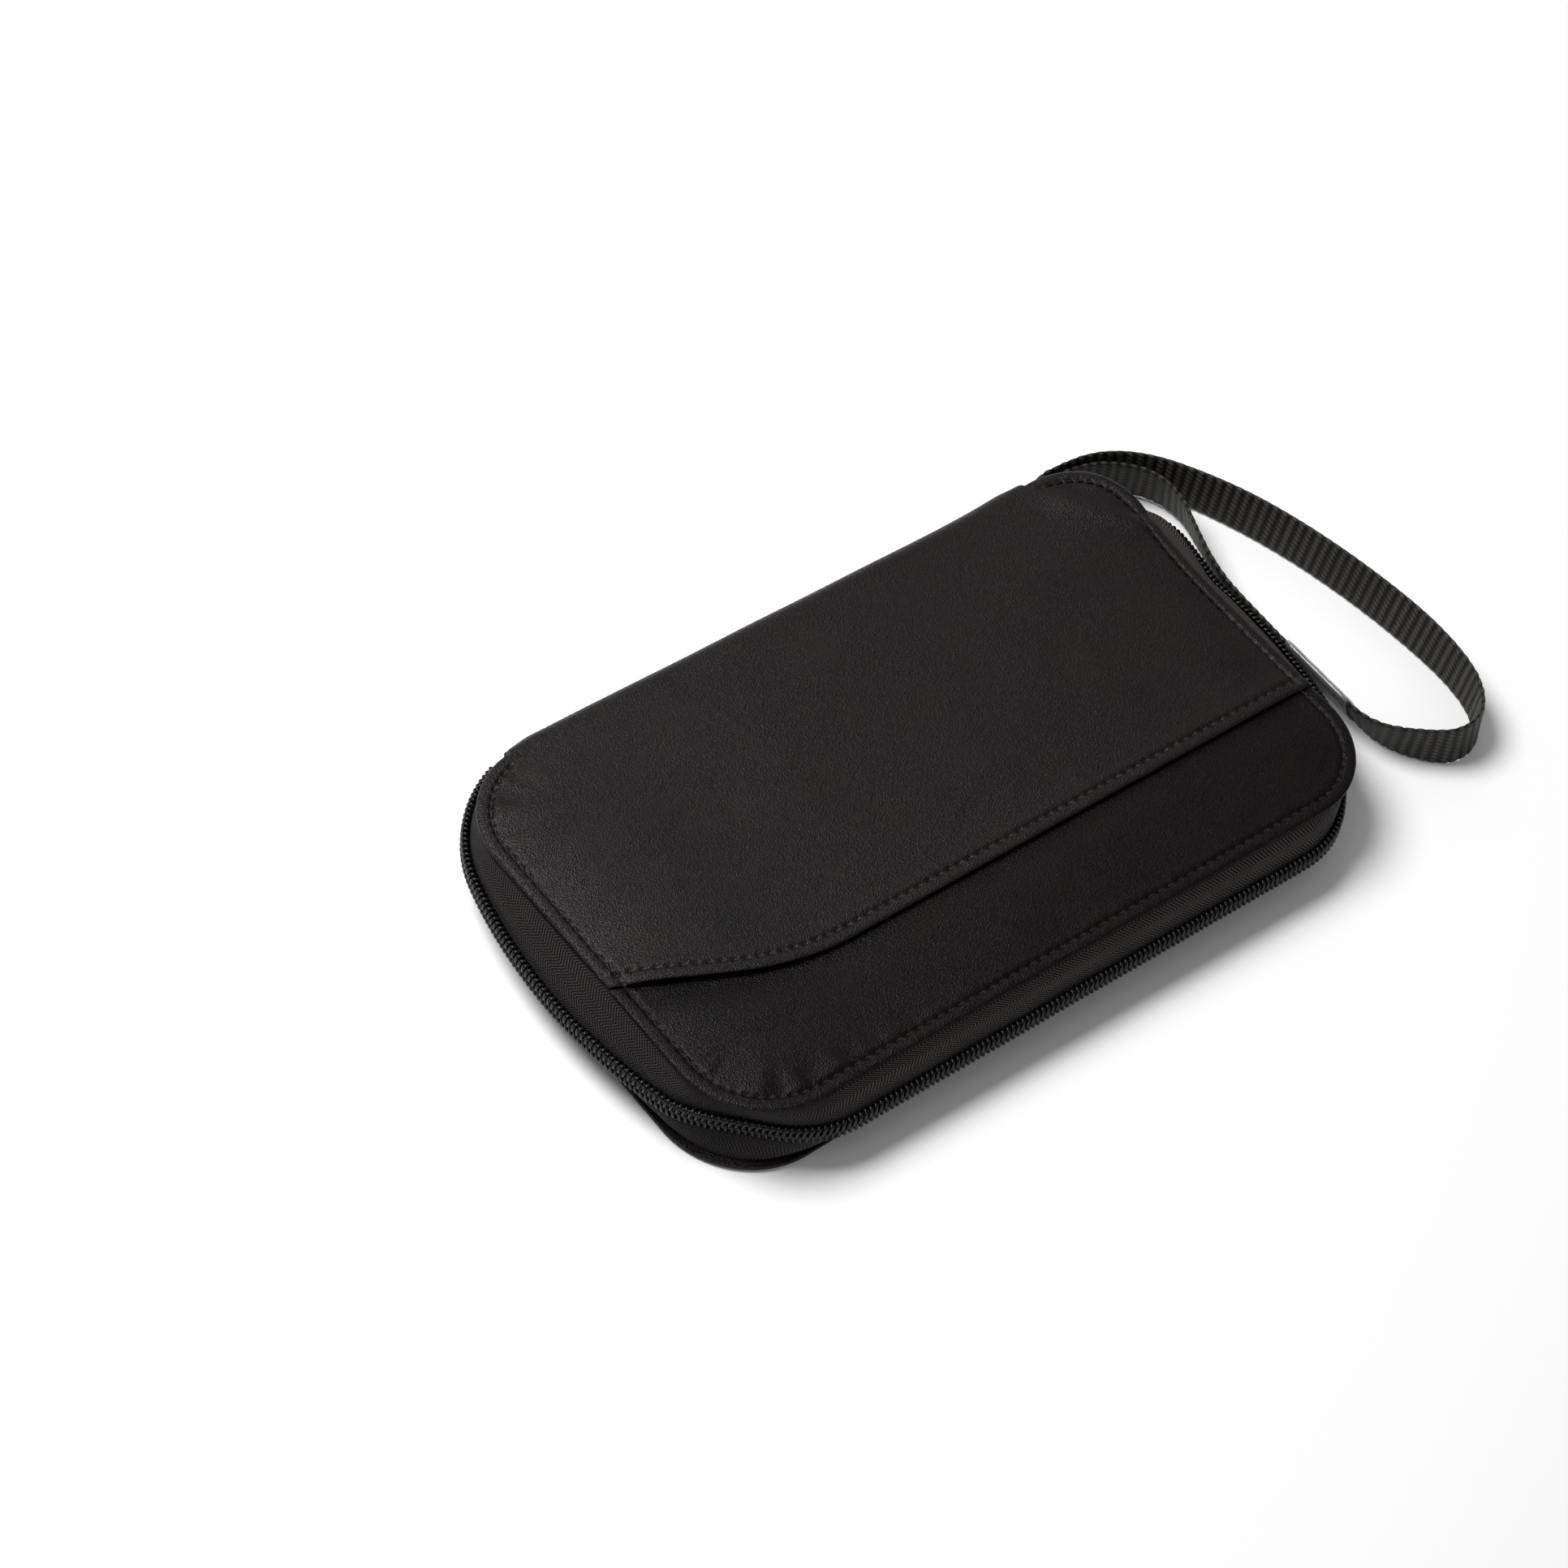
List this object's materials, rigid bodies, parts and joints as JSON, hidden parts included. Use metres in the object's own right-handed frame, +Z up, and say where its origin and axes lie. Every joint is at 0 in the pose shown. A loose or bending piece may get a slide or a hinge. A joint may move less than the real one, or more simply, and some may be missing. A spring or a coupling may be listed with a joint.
{
  "type": "passport wallet",
  "caption": "Zip-round leather travel wallet for a passport, cards and tickets, opening like a book on a flat spine, with a webbing wrist strap at one end.",
  "frame": {"origin": "centre of the wallet's own box at the level it lies on, closed, without the wrist strap and its anchor", "axes": "+X along the wallet towards the wrist strap, +Y towards the spine, +Z up through the front cover"},
  "size_m": [0.2697, 0.1388, 0.022],
  "materials": {
    "leather": "smooth fine-grained black nappa with a soft sheen",
    "pocket_leather": "thin black pocket leather",
    "foam": "thin closed-cell padding",
    "board": "stiff grey-brown board",
    "lining": "plain-woven black lining",
    "zip_tape": "herringbone black zip tape",
    "zip_coil": "black nylon coil",
    "slider_metal": "plated slider",
    "webbing": "coarse ribbed black polypropylene webbing",
    "clear_plastic": "clear glossy tube"
  },
  "bodies": {
    "back_half": {"back_cover_leather": "leather", "back_padding": "foam", "back_board": "board", "back_lining": "lining", "document_pocket": "lining", "passport_pocket_welt": "pocket_leather", "passport_pocket_panel": "pocket_leather", "back_zip_tape": "zip_tape", "back_coil": "zip_coil", "strap_anchor": "webbing", "wrist_strap": "webbing"},
    "spine": {"spine_leather": "leather", "spine_board": "board", "spine_lining": "lining", "zip_end_tab_left": "zip_tape", "zip_end_tab_right": "zip_tape"},
    "front_half": {"front_upper_panel": "leather", "front_lower_panel": "leather", "front_padding": "foam", "front_board": "board", "front_lining": "lining", "ticket_pocket": "lining", "card_slot_1": "pocket_leather", "card_slot_2": "pocket_leather", "card_slot_3": "pocket_leather", "card_slot_4": "pocket_leather", "front_zip_tape": "zip_tape", "front_coil": "zip_coil"},
    "zip_slider": {"slider_body": "slider_metal"},
    "zip_pull": {"slider_pull": "slider_metal"},
    "strap_keeper": {"strap_sleeve": "clear_plastic"}
  },
  "joints": [
    {"name": "spine_fold", "type": "hinge", "parent": "back_half", "child": "spine", "pos_m": [0, 0.06565, 0.001], "axis": [-1, 0, 0], "range_deg": [0, 90]},
    {"name": "cover_fold", "type": "hinge", "parent": "spine", "child": "front_half", "pos_m": [0, 0.06565, 0.021], "axis": [-1, 0, 0], "range_deg": [0, 90]},
    {"name": "slider_travel", "type": "hinge", "parent": "back_half", "child": "zip_slider", "pos_m": [0.07218, 0.03065, 0.011], "axis": [0, 0, 1], "range_deg": [-20, 0]},
    {"name": "pull_swing", "type": "hinge", "parent": "zip_slider", "child": "zip_pull", "pos_m": [0.10223, 0.0607, 0.011], "axis": [0, 0, 1], "range_deg": [0, 45]},
    {"name": "keeper_slide", "type": "slide", "parent": "back_half", "child": "strap_keeper", "axis": [0, 1, 0], "range_m": [0, 0.014]}
  ],
  "couplings": [
    {"joint": "cover_fold", "follows": "spine_fold", "ratio": 1}
  ]
}
